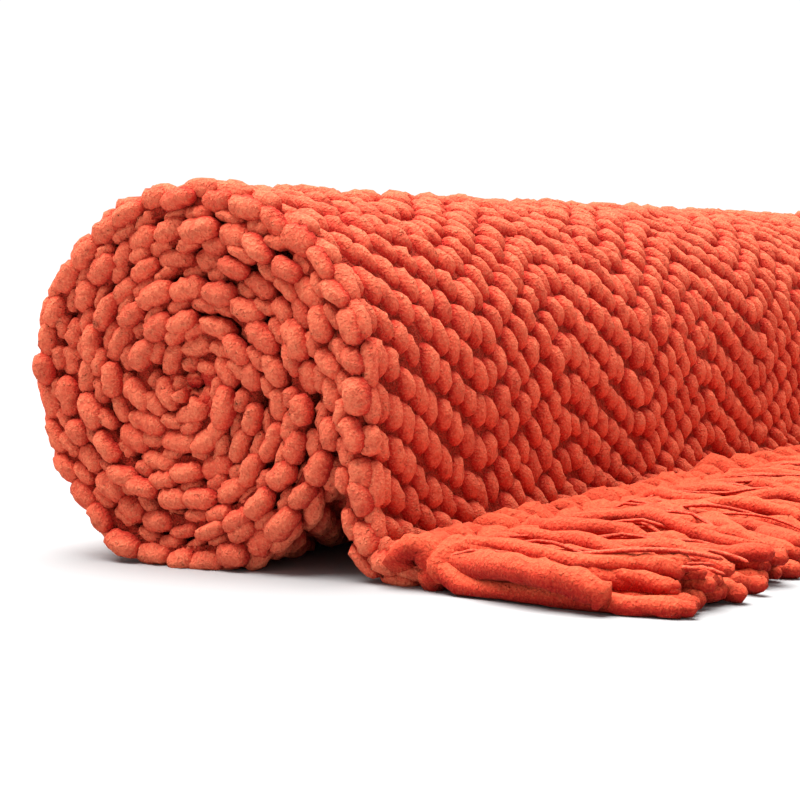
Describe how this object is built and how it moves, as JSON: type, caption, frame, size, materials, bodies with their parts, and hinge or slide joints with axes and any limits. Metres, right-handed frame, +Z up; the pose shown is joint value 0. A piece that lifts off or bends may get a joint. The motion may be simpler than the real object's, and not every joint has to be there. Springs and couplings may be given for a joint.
{
  "type": "rolled knit throw",
  "caption": "Chunky chenille throw in chevron ribs, rolled into a long spiral roll whose loose, tasselled end hangs in front and lies on the floor.",
  "frame": {"origin": "on the floor, below the middle of the object's box", "axes": "+X along the roll's axis, -Y towards the loose fringed end, +Z up"},
  "size_m": [1.294, 0.2808, 0.1429],
  "materials": {
    "chenille_knit": "matte velvety pile on thick chenille yarn, burnt orange, darker in the furrows",
    "chenille_fringe": "matte chenille strands with smooth fine threads between them, burnt orange"
  },
  "bodies": {
    "root": {"throw_cloth": "chenille_knit", "fringe": "chenille_fringe"}
  },
  "joints": []
}
